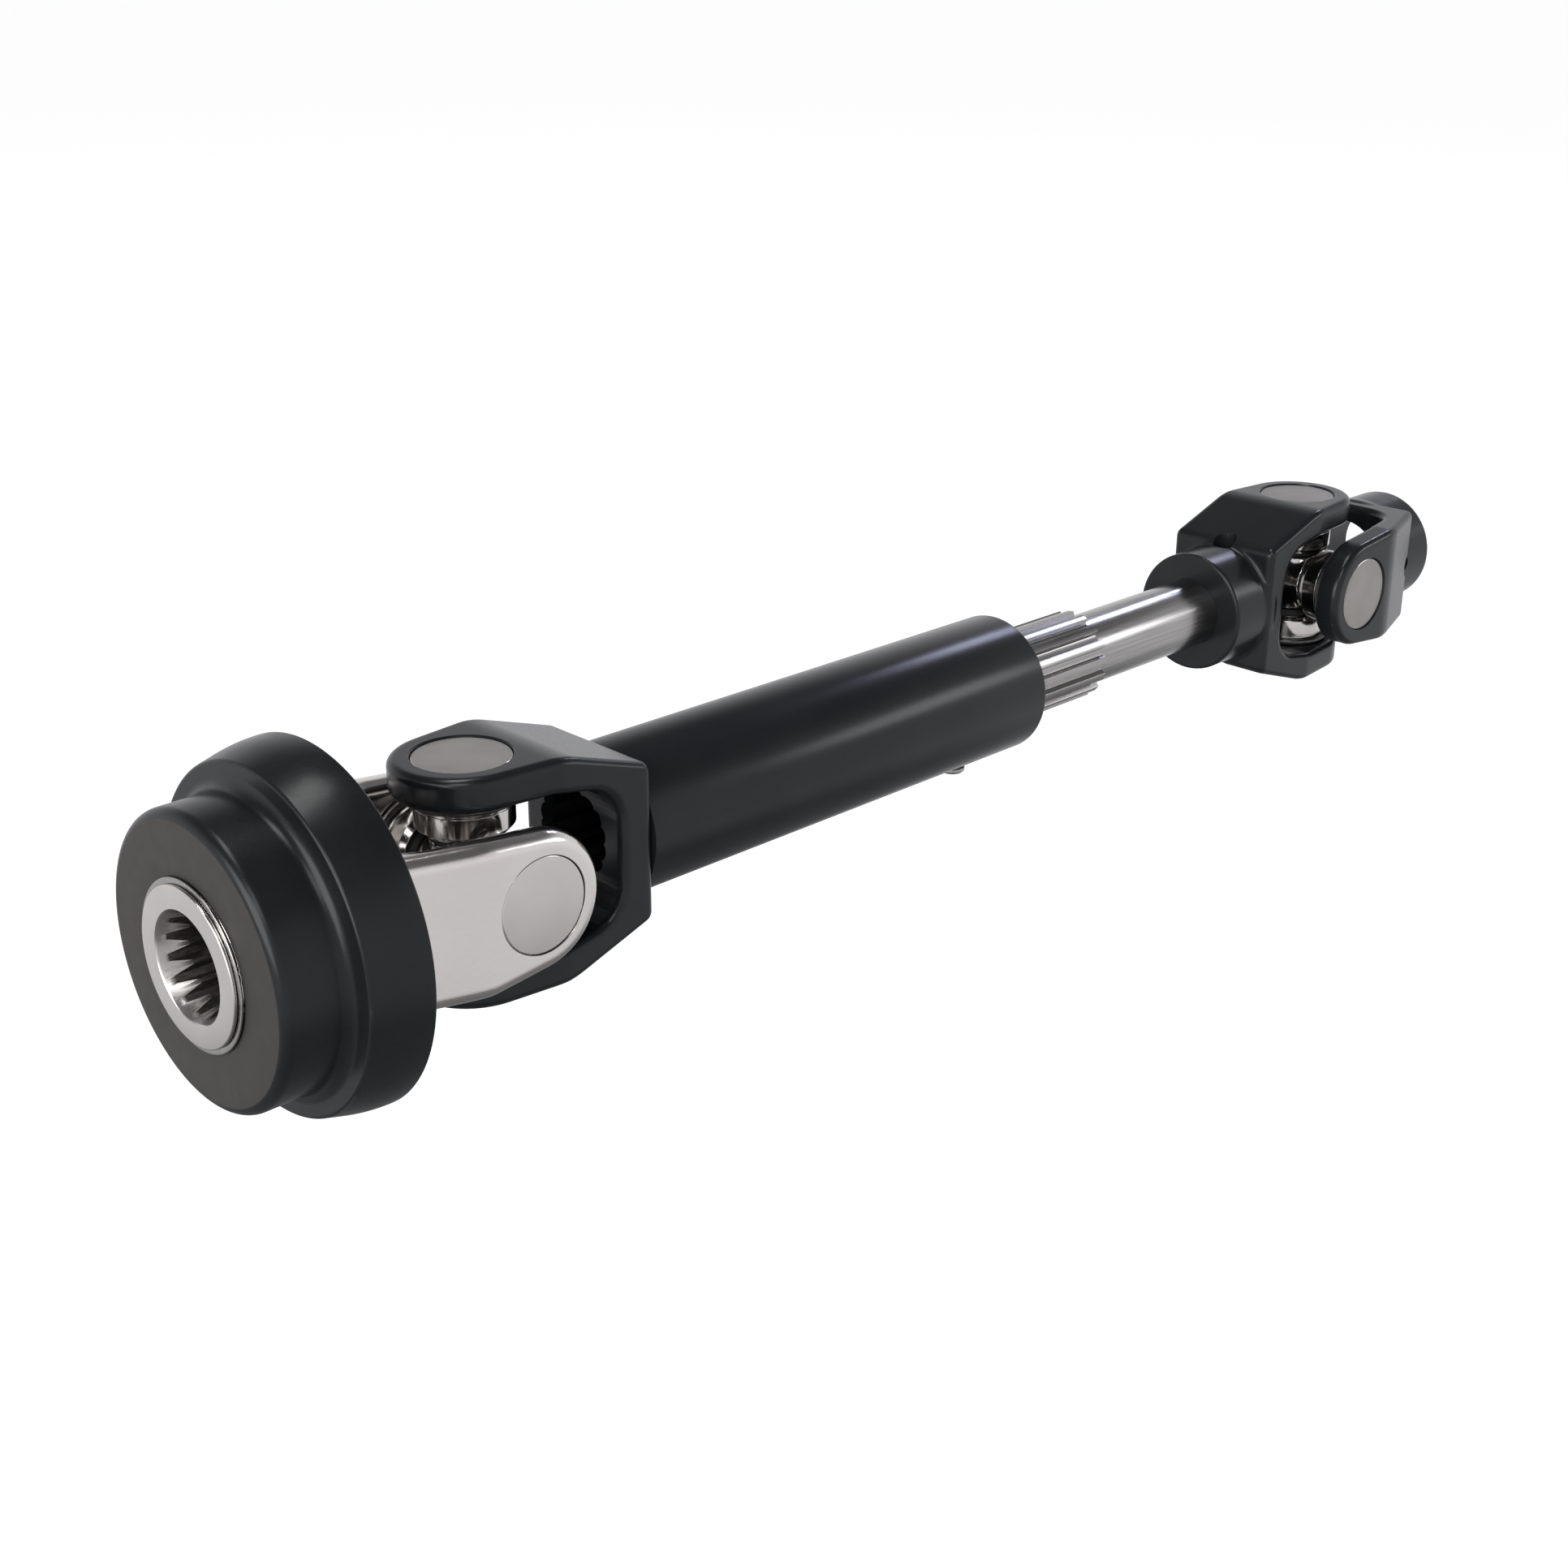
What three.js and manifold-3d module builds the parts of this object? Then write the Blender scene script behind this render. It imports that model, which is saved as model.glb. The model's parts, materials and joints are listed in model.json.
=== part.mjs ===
// Telescoping universal joint shaft: a quick-release splined fork, two cross joints and a sliding spline.
// Millimetres, +Z up. The shaft runs along +X; the origin is on the ground, under the middle of its length.

import * as THREE from 'three';
import { mergeVertices } from 'three/addons/utils/BufferGeometryUtils.js';
import Module from 'manifold-3d';

const wasm = await Module();
wasm.setup();

// ---- driving dimensions -------------------------------------------------------------------------

const GAP = 0.3;                  // clearance between touching pieces
const JOINT_SPACING = 358.6;      // front joint centre to rear joint centre

const CUP_RADIUS = 12.4;          // bearing cup, held in a fork ear
const CUP_TOP = 29.65;            // joint centre to the closed end of a cup
const CUP_MOUTH = 11.4;           // joint centre to the open end of a cup
const CUP_WALL = 1.9;
const TRUNNION_RADIUS = 7.6;
const NEEDLE_COUNT = 12;          // needles drawn in one cup
const SHOULDER_RADIUS = 9.2;      // boss at the foot of each trunnion
const SHOULDER = 9.2;
const SEAL_TOP = 13;              // joint centre to the seal's edge inside the cup
const CLIP_THICKNESS = 1.3;       // ring on the cup, against the inside of the ear
const CLIP_RADIUS = 14.3;
const CLIP_GROOVE = 0.9;
const CLIP_OPENING = 7;           // gap between the ends of a clip

const FORK_HALF_WIDTH = 19.7;     // flat sides of a fork's base
const EAR_TOP = 30.1;             // joint centre to the outer face of an ear
const INPUT_EAR_TOP = 29.8;
const EAR_INSIDE = 21;            // joint centre to the inner face of an ear
const EAR_TIP_RADIUS = 18;        // round end of an ear, about the cup
const EAR_FLAT_END = 16;          // where the outer face of an ear starts to slope down to the base
const EAR_TAPER_START = 14.6;     // where the inner face of an ear starts to lean towards the axis
const EAR_TAPER_ANGLE = 0.2;      // radians
const FORK_WALL = 33.2;           // joint centre to the inside wall of the base
const FORK_BASE = 43.2;           // joint centre to the back of the base
const BASE_HALF_HEIGHT = 21.2;
const FORK_CORNER = 11;           // inside corner radius of the fork opening
const EDGE = 1.8;                 // chamfer that stands for the rounded forging edges

const HUB_RADIUS = 19.65;
const HUB_END = 59.95;            // joint centre to the hub end of the shaft fork and the output fork
const INPUT_HUB_END = 77.2;       // joint centre to the end of the long splined hub

const BORE_TEETH = 15;            // one-inch, 15-tooth splined bore
const BORE_MAJOR = 12.7;
const BORE_MINOR = 11.1;
const CONE_RADIUS = 13.5;         // lead-in cone at the hub face
const CONE_SLOPE = 3;             // millimetres deep for each millimetre of radius
const RING_GROOVE_RADIUS = 18.45; // bottom of the snap ring's groove
const RING_GROOVE_FRONT = 76.5;   // front joint centre to the groove's end walls
const RING_GROOVE_REAR = 75.4;
const HUB_LIP = 0.3;              // the hub is this much smaller in front of the groove
const RING_WIRE = 1;              // half the width of the snap ring across its section

const SLEEVE_RADIUS = 20.65;
const SLEEVE_END = 198.2;         // front joint centre to the open end of the sleeve
const SPIGOT_RADIUS = 17.2;       // stub of the sleeve fork, inside the sleeve
const SPIGOT_END = 60;
const NIPPLE_PLACE = 180;
const NIPPLE_RADIUS = 4;
const NIPPLE_END = 24.1;          // shaft axis to the flat head of the nipple

const SLIP_TEETH = 16;            // sliding spline between sleeve and shaft
const SLIP_MAJOR = 13.9;
const SLIP_MINOR = 12;
const SLIP_END = 236;             // front joint centre to the end of the teeth on the shaft
const SHAFT_START = 100;          // front joint centre to the hidden end of the shaft
const SHAFT_RADIUS = 11.25;

const PIN_RADIUS = 3.6;           // spring pin through the shaft fork's hub
const PIN_PLACE = 42;             // joint centre to the axis of the pin
const PIN_HALF_LENGTH = 17;
const END_BORE_RADIUS = 14;       // plain bore of the output fork

const COLLAR_FRONT = 75.3;        // front joint centre to the front face of the collar
const COLLAR_STEP = 58.2;
const COLLAR_REAR = 42.4;
const COLLAR_SMALL_RADIUS = 36.1;
const COLLAR_ROUND = 2.8;         // rounding of the small rim
const COLLAR_FILLET = 3.2;        // hollow rounding at the foot of the step
const COLLAR_SHOULDER_RADIUS = 42.7;
const COLLAR_LARGE_RADIUS = 45.3;
const COLLAR_CONE_END = 48;       // from here to the rear the large ring is a plain cylinder
const SKIRT_RADIUS = 38.5;        // hollow behind the step, which passes over the fork's base
const COLLAR_BORE = 20.3;
const SPRING_POCKET_RADIUS = 24.9;
const SPRING_POCKET_END = 59;
const SPRING_TURNS = 3.5;
const SPRING_RADIUS = 22.4;
const SPRING_WIRE = 1.1;
const BALL_RADIUS = 4.5;
const BALL_COUNT = 3;
const BALL_PLACE = 62;            // front joint centre to the plane of the locking balls
const RELEASE_SLOPE = 0.21;       // cone in the collar's bore that lets the balls move out as it slides
const RELEASE_LENGTH = 10.5;

const GROUND_TO_AXIS = COLLAR_LARGE_RADIUS;
const FRONT_JOINT_X = (INPUT_HUB_END - JOINT_SPACING - HUB_END) / 2;

// ---- materials ----------------------------------------------------------------------------------

const BLACK = { color: 0x2b2d30, roughness: 0.45, metalness: 0.3 };
const GRIP = { color: 0x333436, roughness: 0.55, metalness: 0 };
const POLISHED = { color: 0xb9b4b0, roughness: 0.2, metalness: 1 };
const CHROME = { color: 0xc8c4c0, roughness: 0.12, metalness: 1 };
const GROUND = { color: 0xa9a7a4, roughness: 0.3, metalness: 1 };
const SPRING = { color: 0x6f7174, roughness: 0.35, metalness: 0.9 };
const SEALING = { color: 0x1c1c1d, roughness: 0.7, metalness: 0 };

// ---- helpers ------------------------------------------------------------------------------------

// A closed geometry becomes a manifold solid: shared vertices are merged and flat triangles dropped.
function solid(geometry) {
  const bare = geometry.clone();
  bare.deleteAttribute('normal');
  bare.deleteAttribute('uv');
  const merged = mergeVertices(bare, 1e-4);
  const index = merged.index.array;
  const kept = [];
  for (let i = 0; i < index.length; i += 3) {
    const [a, b, c] = [index[i], index[i + 1], index[i + 2]];
    if (a !== b && b !== c && c !== a) kept.push(a, b, c);
  }
  return new wasm.Manifold(new wasm.Mesh({
    numProp: 3,
    vertProperties: new Float32Array(merged.attributes.position.array),
    triVerts: new Uint32Array(kept),
  }));
}

function geometryOf(manifold) {
  const { vertProperties, triVerts } = manifold.getMesh();
  const geometry = new THREE.BufferGeometry();
  geometry.setAttribute('position', new THREE.BufferAttribute(new Float32Array(vertProperties), 3));
  geometry.setIndex(new THREE.BufferAttribute(new Uint32Array(triVerts), 1));
  geometry.computeVertexNormals();
  return geometry;
}

function named(name, shape, look) {
  const geometry = geometryOf(shape.isBufferGeometry ? solid(shape) : shape);
  const mesh = new THREE.Mesh(geometry, new THREE.MeshStandardMaterial(look));
  mesh.name = name;
  return mesh;
}

// Turned piece about Z: [radius, height] pairs go up the outside and come down the inside.
function turned(pairs, segments = 32) {
  const points = pairs.map(([radius, height]) => new THREE.Vector2(radius, height));
  points.push(points[0].clone());
  return new THREE.LatheGeometry(points, segments).rotateX(Math.PI / 2);
}

const alongX = (geometry) => geometry.rotateY(Math.PI / 2);

function rod(radius, from, to, segments = 32) {
  return turned([[0, from], [radius, from], [radius, to], [0, to]], segments);
}

// Extrusion of an outline from z = from to z = to; a bevel stays inside the outline.
function slab(shape, from, to, bevel = 0, curveSegments = 12) {
  const geometry = new THREE.ExtrudeGeometry(shape, {
    depth: to - from - 2 * bevel,
    bevelEnabled: bevel > 0,
    bevelThickness: bevel,
    bevelSize: bevel,
    bevelOffset: -bevel,
    bevelSegments: 1,
    curveSegments,
  });
  return geometry.translate(0, 0, from + bevel);
}

// Toothed outline. Shares are the parts of a pitch that a tooth takes at its foot and at its tip.
function toothed(teeth, foot, tip, footShare, tipShare) {
  const pitch = (2 * Math.PI) / teeth;
  const corners = [[foot, -footShare / 2], [tip, -tipShare / 2], [tip, tipShare / 2], [foot, footShare / 2]];
  const points = [];
  for (let tooth = 0; tooth < teeth; tooth += 1) {
    for (const [radius, share] of corners) {
      const angle = (tooth + share) * pitch;
      points.push(new THREE.Vector2(radius * Math.cos(angle), radius * Math.sin(angle)));
    }
  }
  return new THREE.Shape(points);
}

// ---- forks --------------------------------------------------------------------------------------

// Every fork is drawn with its joint centre at the origin, its ears at +Z and -Z and its base towards +X.

function forkSide(earTop) {
  const tip = -EAR_TIP_RADIUS - 1;
  const centre = FORK_WALL - FORK_CORNER;
  const turn = Math.PI / 2 - EAR_TAPER_ANGLE;
  const run = centre - EAR_TAPER_START;
  const corner = EAR_INSIDE - (run * Math.sin(EAR_TAPER_ANGLE) + FORK_CORNER) / Math.cos(EAR_TAPER_ANGLE);
  const shape = new THREE.Shape();
  shape.moveTo(tip, earTop);
  shape.lineTo(tip, EAR_INSIDE);
  shape.lineTo(EAR_TAPER_START, EAR_INSIDE);
  shape.absarc(centre, corner, FORK_CORNER, turn, 0, true);
  shape.absarc(centre, -corner, FORK_CORNER, 0, -turn, true);
  shape.lineTo(EAR_TAPER_START, -EAR_INSIDE);
  shape.lineTo(tip, -EAR_INSIDE);
  shape.lineTo(tip, -earTop);
  shape.lineTo(EAR_FLAT_END, -earTop);
  shape.lineTo(FORK_BASE, -BASE_HALF_HEIGHT);
  shape.lineTo(FORK_BASE, BASE_HALF_HEIGHT);
  shape.lineTo(EAR_FLAT_END, earTop);
  return shape;
}

function forkPlan() {
  const tangent = Math.PI * 0.47;
  const shape = new THREE.Shape();
  shape.absarc(0, 0, EAR_TIP_RADIUS, tangent, 2 * Math.PI - tangent, false);
  shape.lineTo(EAR_FLAT_END, -FORK_HALF_WIDTH);
  shape.lineTo(FORK_BASE + 1, -FORK_HALF_WIDTH);
  shape.lineTo(FORK_BASE + 1, FORK_HALF_WIDTH);
  shape.lineTo(EAR_FLAT_END, FORK_HALF_WIDTH);
  return shape;
}

function forkBody(earTop = EAR_TOP) {
  const side = slab(forkSide(earTop), -FORK_HALF_WIDTH, FORK_HALF_WIDTH, EDGE, 4).rotateX(Math.PI / 2);
  const plan = slab(forkPlan(), -earTop, earTop, EDGE, 12);
  const cups = rod(CUP_RADIUS + GAP, -earTop - 1, earTop + 1, 24);
  return solid(side).intersect(solid(plan)).subtract(solid(cups));
}

function ballAngle(ball) {
  return (2 * Math.PI * ball) / BALL_COUNT;
}

function ballHole(ball) {
  const seat = BORE_MAJOR + 0.5;
  const hole = turned([
    [0, BORE_MINOR - 2],
    [BALL_RADIUS - 0.4, BORE_MINOR - 2],
    [BALL_RADIUS - 0.4, seat],
    [BALL_RADIUS + GAP, seat],
    [BALL_RADIUS + GAP, HUB_RADIUS + 2],
    [0, HUB_RADIUS + 2],
  ], 12);
  return hole.rotateX(ballAngle(ball)).translate(BALL_PLACE, 0, 0);
}

function inputFork() {
  const hub = alongX(turned([
    [0, FORK_BASE - 1],
    [HUB_RADIUS, FORK_BASE - 1],
    [HUB_RADIUS, RING_GROOVE_REAR],
    [RING_GROOVE_RADIUS, RING_GROOVE_REAR],
    [RING_GROOVE_RADIUS, RING_GROOVE_FRONT],
    [HUB_RADIUS - HUB_LIP, RING_GROOVE_FRONT],
    [HUB_RADIUS - HUB_LIP, INPUT_HUB_END],
    [0, INPUT_HUB_END],
  ], 32));
  const bore = alongX(slab(toothed(BORE_TEETH, BORE_MINOR, BORE_MAJOR, 0.62, 0.3), FORK_WALL - 6, INPUT_HUB_END + 1));
  const coneEnd = BORE_MINOR - 0.5;
  const cone = alongX(turned([
    [0, INPUT_HUB_END - (CONE_RADIUS - coneEnd) * CONE_SLOPE],
    [coneEnd, INPUT_HUB_END - (CONE_RADIUS - coneEnd) * CONE_SLOPE],
    [CONE_RADIUS + 1 / CONE_SLOPE, INPUT_HUB_END + 1],
    [0, INPUT_HUB_END + 1],
  ], 30));
  let body = forkBody(INPUT_EAR_TOP).add(solid(hub)).subtract(solid(bore)).subtract(solid(cone));
  for (let ball = 0; ball < BALL_COUNT; ball += 1) {
    body = body.subtract(solid(ballHole(ball)));
  }
  return body;
}

function slipBore(from, to) {
  const outline = toothed(SLIP_TEETH, SLIP_MINOR + GAP, SLIP_MAJOR + GAP, 0.66, 0.5);
  return solid(alongX(slab(outline, from, to)));
}

function sleeveFork() {
  const spigot = alongX(rod(SPIGOT_RADIUS, FORK_BASE - 1, SPIGOT_END));
  return forkBody().add(solid(spigot)).subtract(slipBore(FORK_WALL - 4, SPIGOT_END + 1));
}

function hubFork(boreRadius) {
  const hub = alongX(rod(HUB_RADIUS, FORK_BASE - 1, HUB_END, 32));
  const bore = alongX(rod(boreRadius, FORK_WALL - 4, HUB_END + 1, 32));
  const pinHole = rod(PIN_RADIUS + GAP, -EAR_TOP, EAR_TOP, 16).translate(PIN_PLACE, 0, 0);
  return forkBody().add(solid(hub)).subtract(solid(bore)).subtract(solid(pinHole));
}

// ---- cross and bearings -------------------------------------------------------------------------

const CUP_INSIDE = CUP_TOP - 1.8;
const CLIP_TOP = EAR_INSIDE - GAP;
const CLIP_BOTTOM = CLIP_TOP - CLIP_THICKNESS;

// A cross lies across the shaft: one pair of trunnions along Z and one along Y.
function cross() {
  const end = CUP_INSIDE - GAP;
  const round = 0.6;
  const half = [
    [SHOULDER_RADIUS, 0],
    [SHOULDER_RADIUS, SHOULDER],
    [TRUNNION_RADIUS, SHOULDER],
    [TRUNNION_RADIUS, end - round],
    [TRUNNION_RADIUS - round, end],
    [0, end],
  ];
  const mirrored = half.slice(1).reverse().map(([radius, height]) => [radius, -height]);
  const arm = turned([...mirrored, ...half.slice(1)], 20);
  return solid(arm).add(solid(arm.clone().rotateX(Math.PI / 2)));
}

function cup() {
  const groove = CUP_RADIUS - CLIP_GROOVE;
  return turned([
    [CUP_RADIUS - 1.3, CUP_MOUTH],
    [CUP_RADIUS, CUP_MOUTH + 1.6],
    [CUP_RADIUS, CLIP_BOTTOM - GAP],
    [groove, CLIP_BOTTOM - GAP],
    [groove, EAR_INSIDE],
    [CUP_RADIUS, EAR_INSIDE],
    [CUP_RADIUS, CUP_TOP],
    [0, CUP_TOP],
    [0, CUP_INSIDE],
    [CUP_RADIUS - CUP_WALL, CUP_INSIDE],
    [CUP_RADIUS - CUP_WALL, CUP_MOUTH],
  ], 20);
}

// The needles of one cup stand side by side as one fluted ring.
function needles() {
  const outer = CUP_RADIUS - CUP_WALL - GAP;
  const shape = toothed(NEEDLE_COUNT, outer - 0.5, outer, 0.9, 0.3);
  const hole = new THREE.Path();
  hole.absarc(0, 0, (TRUNNION_RADIUS + GAP) / Math.cos(Math.PI / NEEDLE_COUNT), 0, 2 * Math.PI, true);
  shape.holes.push(hole);
  return slab(shape, SEAL_TOP + GAP, CUP_INSIDE - 1.5, 0, NEEDLE_COUNT / 2);
}

function clip() {
  const inner = CUP_RADIUS - CLIP_GROOVE + GAP;
  const ring = turned([
    [CLIP_RADIUS, CLIP_BOTTOM],
    [CLIP_RADIUS, CLIP_TOP],
    [inner, CLIP_TOP],
    [inner, CLIP_BOTTOM],
  ], 16);
  const opening = new THREE.BoxGeometry(CLIP_RADIUS, CLIP_OPENING, 3 * CLIP_THICKNESS);
  opening.translate(CLIP_RADIUS, 0, CLIP_BOTTOM);
  return solid(ring).subtract(solid(opening));
}

function seal() {
  const outer = CUP_RADIUS - CUP_WALL - GAP;
  return turned([
    [outer - 1, SHOULDER + GAP],
    [outer, outer + GAP],
    [outer, SEAL_TOP],
    [TRUNNION_RADIUS + GAP, SEAL_TOP],
    [TRUNNION_RADIUS + GAP, SHOULDER + GAP],
  ], 16);
}

// What one ear holds: its cup with needles, clip and seal, turned about X by quarters from straight up.
function bearing(place, quarter) {
  const set = new THREE.Group();
  set.add(
    named(`${place}_cup`, cup(), CHROME),
    named(`${place}_needles`, needles(), CHROME),
    named(`${place}_clip`, clip(), SPRING),
    named(`${place}_seal`, seal(), SEALING),
  );
  set.rotation.x = (quarter * Math.PI) / 2;
  return set;
}

function joint(name) {
  const set = new THREE.Group();
  set.add(
    named(`${name}_cross`, cross(), CHROME),
    bearing(`${name}_top`, 0),
    bearing(`${name}_right`, 1),
    bearing(`${name}_bottom`, 2),
    bearing(`${name}_left`, 3),
  );
  return set;
}

// ---- release collar -----------------------------------------------------------------------------

function collar() {
  const cut = COLLAR_ROUND * 0.3;
  return alongX(turned([
    [SKIRT_RADIUS, COLLAR_REAR],
    [COLLAR_LARGE_RADIUS, COLLAR_REAR],
    [COLLAR_LARGE_RADIUS, COLLAR_CONE_END],
    [COLLAR_SHOULDER_RADIUS, COLLAR_STEP - 0.7],
    [COLLAR_SHOULDER_RADIUS - 0.7, COLLAR_STEP],
    [COLLAR_SMALL_RADIUS + COLLAR_FILLET, COLLAR_STEP],
    [COLLAR_SMALL_RADIUS, COLLAR_STEP + COLLAR_FILLET],
    [COLLAR_SMALL_RADIUS, COLLAR_FRONT - COLLAR_ROUND],
    [COLLAR_SMALL_RADIUS - cut, COLLAR_FRONT - cut],
    [COLLAR_SMALL_RADIUS - COLLAR_ROUND, COLLAR_FRONT],
    [COLLAR_BORE, COLLAR_FRONT],
    [COLLAR_BORE, BALL_PLACE + RELEASE_LENGTH + 1],
    [COLLAR_BORE + RELEASE_SLOPE * RELEASE_LENGTH, BALL_PLACE + RELEASE_LENGTH - 0.5],
    [COLLAR_BORE, BALL_PLACE - 0.5],
    [COLLAR_BORE, SPRING_POCKET_END],
    [SPRING_POCKET_RADIUS, SPRING_POCKET_END],
    [SPRING_POCKET_RADIUS, COLLAR_STEP - 4],
    [SKIRT_RADIUS, COLLAR_STEP - 7],
  ], 40));
}

class SpringCurve extends THREE.Curve {
  getPoint(t) {
    const from = FORK_BASE + GAP + SPRING_WIRE;
    const to = SPRING_POCKET_END - GAP - SPRING_WIRE;
    const angle = 2 * Math.PI * SPRING_TURNS * t;
    return new THREE.Vector3(from + (to - from) * t, SPRING_RADIUS * Math.cos(angle), SPRING_RADIUS * Math.sin(angle));
  }
}

function collarSpring() {
  const section = new THREE.Shape();
  section.absarc(0, 0, SPRING_WIRE, 0, 2 * Math.PI, false);
  return new THREE.ExtrudeGeometry(section, {
    extrudePath: new SpringCurve(),
    steps: Math.round(SPRING_TURNS * 14),
    curveSegments: 3,
    bevelEnabled: false,
  });
}

// Open wire ring in the hub's groove, in front of the collar.
function snapRing() {
  const inner = RING_GROOVE_RADIUS + GAP;
  const outer = inner + 2 * RING_WIRE;
  const [back, front] = [COLLAR_FRONT + GAP, RING_GROOVE_FRONT - GAP];
  return alongX(turned([[outer, back], [outer, front], [inner, front], [inner, back]], 32));
}

function lockingBall(ball) {
  const centre = COLLAR_BORE - GAP - BALL_RADIUS;
  const sphere = new THREE.SphereGeometry(BALL_RADIUS, 12, 8).translate(0, 0, centre);
  return sphere.rotateX(ballAngle(ball)).translate(BALL_PLACE, 0, 0);
}

// ---- sliding sleeve and shaft -------------------------------------------------------------------

function sleeve() {
  const tube = alongX(rod(SLEEVE_RADIUS, FORK_BASE + GAP, SLEEVE_END, 48));
  const socket = alongX(rod(SPIGOT_RADIUS + GAP, FORK_BASE, SPIGOT_END + GAP));
  const nippleHole = rod(NIPPLE_RADIUS - 0.7, -SLEEVE_RADIUS - 1, -SLIP_MINOR, 16).translate(NIPPLE_PLACE, 0, 0);
  return solid(tube).subtract(solid(socket)).subtract(slipBore(SPIGOT_END, SLEEVE_END + 1)).subtract(solid(nippleHole));
}

function nipple() {
  const neck = NIPPLE_RADIUS - 1;
  return turned([
    [0, -NIPPLE_END],
    [NIPPLE_RADIUS - 0.8, -NIPPLE_END],
    [NIPPLE_RADIUS, -NIPPLE_END + 0.8],
    [NIPPLE_RADIUS, -SLEEVE_RADIUS - GAP],
    [neck, -SLEEVE_RADIUS - GAP],
    [neck, -SLIP_MAJOR - 1],
    [0, -SLIP_MAJOR - 1],
  ], 20).translate(NIPPLE_PLACE, 0, 0);
}

function shaft() {
  const teeth = alongX(slab(toothed(SLIP_TEETH, SLIP_MINOR, SLIP_MAJOR, 0.6, 0.44), SHAFT_START, SLIP_END));
  const plain = alongX(rod(SHAFT_RADIUS, SHAFT_START + 1, JOINT_SPACING - FORK_WALL - 1));
  const pinHole = rod(PIN_RADIUS + GAP, -SHAFT_RADIUS - 1, SHAFT_RADIUS + 1, 20);
  return solid(teeth).add(solid(plain)).subtract(solid(pinHole.translate(JOINT_SPACING - PIN_PLACE, 0, 0)));
}

function pin() {
  const inner = PIN_RADIUS - 1.4;
  return turned([
    [PIN_RADIUS, -PIN_HALF_LENGTH],
    [PIN_RADIUS, PIN_HALF_LENGTH],
    [inner, PIN_HALF_LENGTH],
    [inner, -PIN_HALF_LENGTH],
  ], 16).translate(JOINT_SPACING - PIN_PLACE, 0, 0);
}

// ---- assembly -----------------------------------------------------------------------------------

const group = new THREE.Group();
group.position.set(FRONT_JOINT_X, 0, GROUND_TO_AXIS);

// Input side: its hub faces -X and its ears stand at +Y and -Y.
const input = new THREE.Group();
input.rotation.set(Math.PI / 2, 0, Math.PI, 'ZYX');
input.add(
  named('input_yoke', inputFork(), POLISHED),
  named('release_collar', collar(), GRIP),
  named('collar_spring', collarSpring(), SPRING),
  named('collar_snap_ring', snapRing(), GROUND),
);
for (let ball = 0; ball < BALL_COUNT; ball += 1) {
  input.add(named(`locking_ball_${ball + 1}`, lockingBall(ball), CHROME));
}

const shaftYoke = named('shaft_yoke', hubFork(SHAFT_RADIUS + GAP), BLACK);
shaftYoke.position.x = JOINT_SPACING;
shaftYoke.rotation.z = Math.PI;

const outputYoke = named('output_yoke', hubFork(END_BORE_RADIUS), BLACK);
outputYoke.position.x = JOINT_SPACING;
outputYoke.rotation.x = Math.PI / 2;

const rearJoint = joint('rear');
rearJoint.position.x = JOINT_SPACING;

group.add(
  input,
  joint('front'),
  named('sleeve_yoke', sleeveFork(), BLACK),
  named('spline_sleeve', sleeve(), BLACK),
  named('grease_nipple', nipple(), GROUND),
  named('splined_shaft', shaft(), GROUND),
  shaftYoke,
  named('shaft_pin', pin(), SPRING),
  rearJoint,
  outputYoke,
);

export default group;
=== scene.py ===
"""Looks of the universal joint shaft: a rounded mesh with its own finish for every CAD node.

Shapes are built in millimetres about a joint centre, then placed in the row frame in metres.
"""

import json
import math

import bmesh
import bpy
import numpy as np
import openvdb
from mathutils import Matrix, Vector


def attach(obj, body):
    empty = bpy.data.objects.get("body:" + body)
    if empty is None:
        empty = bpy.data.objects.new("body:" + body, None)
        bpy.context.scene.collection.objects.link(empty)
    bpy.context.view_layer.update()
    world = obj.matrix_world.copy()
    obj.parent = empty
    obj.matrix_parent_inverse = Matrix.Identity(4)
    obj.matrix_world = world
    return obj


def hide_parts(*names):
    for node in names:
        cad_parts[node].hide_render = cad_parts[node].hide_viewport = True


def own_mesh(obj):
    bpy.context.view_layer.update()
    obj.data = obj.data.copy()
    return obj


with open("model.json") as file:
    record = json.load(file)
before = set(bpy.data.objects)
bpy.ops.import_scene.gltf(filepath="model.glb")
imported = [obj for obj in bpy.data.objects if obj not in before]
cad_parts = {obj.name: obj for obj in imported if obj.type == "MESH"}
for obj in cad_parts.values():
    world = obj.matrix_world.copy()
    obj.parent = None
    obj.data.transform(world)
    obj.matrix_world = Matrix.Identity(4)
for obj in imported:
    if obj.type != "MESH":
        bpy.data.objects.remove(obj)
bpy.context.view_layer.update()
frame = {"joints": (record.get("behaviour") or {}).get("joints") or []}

MM = 0.001
JOINTS = {joint["name"]: joint for joint in frame["joints"]}
FRONT = Vector(JOINTS["front_cross_turn"]["pos_m"])
REAR = Vector(JOINTS["rear_cross_turn"]["pos_m"])
AXIS_HEIGHT = FRONT.z
SPACING = (REAR.x - FRONT.x) / MM

# ---- dimensions, millimetres; places along x are from the joint centre a shape is drawn about ----

# Bearing cups and their clips, by distance from the joint centre
CUP_RADIUS = 12.4
CUP_TOP = 29.65
CUP_MOUTH = 11.4
CUP_FIT = 0.12
CLIP_HEIGHT = 20.05

# Forks: ears, wall behind the cross, base
EAR_TOP = 30.1
INPUT_EAR_TOP = 29.8
EAR_INSIDE = 21.0
EAR_BACK = -24.0
EAR_CHAMFER = 0.35
TIP_RADIUS = 18.0
HALF_WIDTH = 19.7
FLAT_END = 16.4
WALL = 33.2
BASE = 43.2
BASE_HALF_HEIGHT = 21.2
PAST_BASE = 8
EDGE = 2.2
INPUT_EDGE = 3.7

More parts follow.
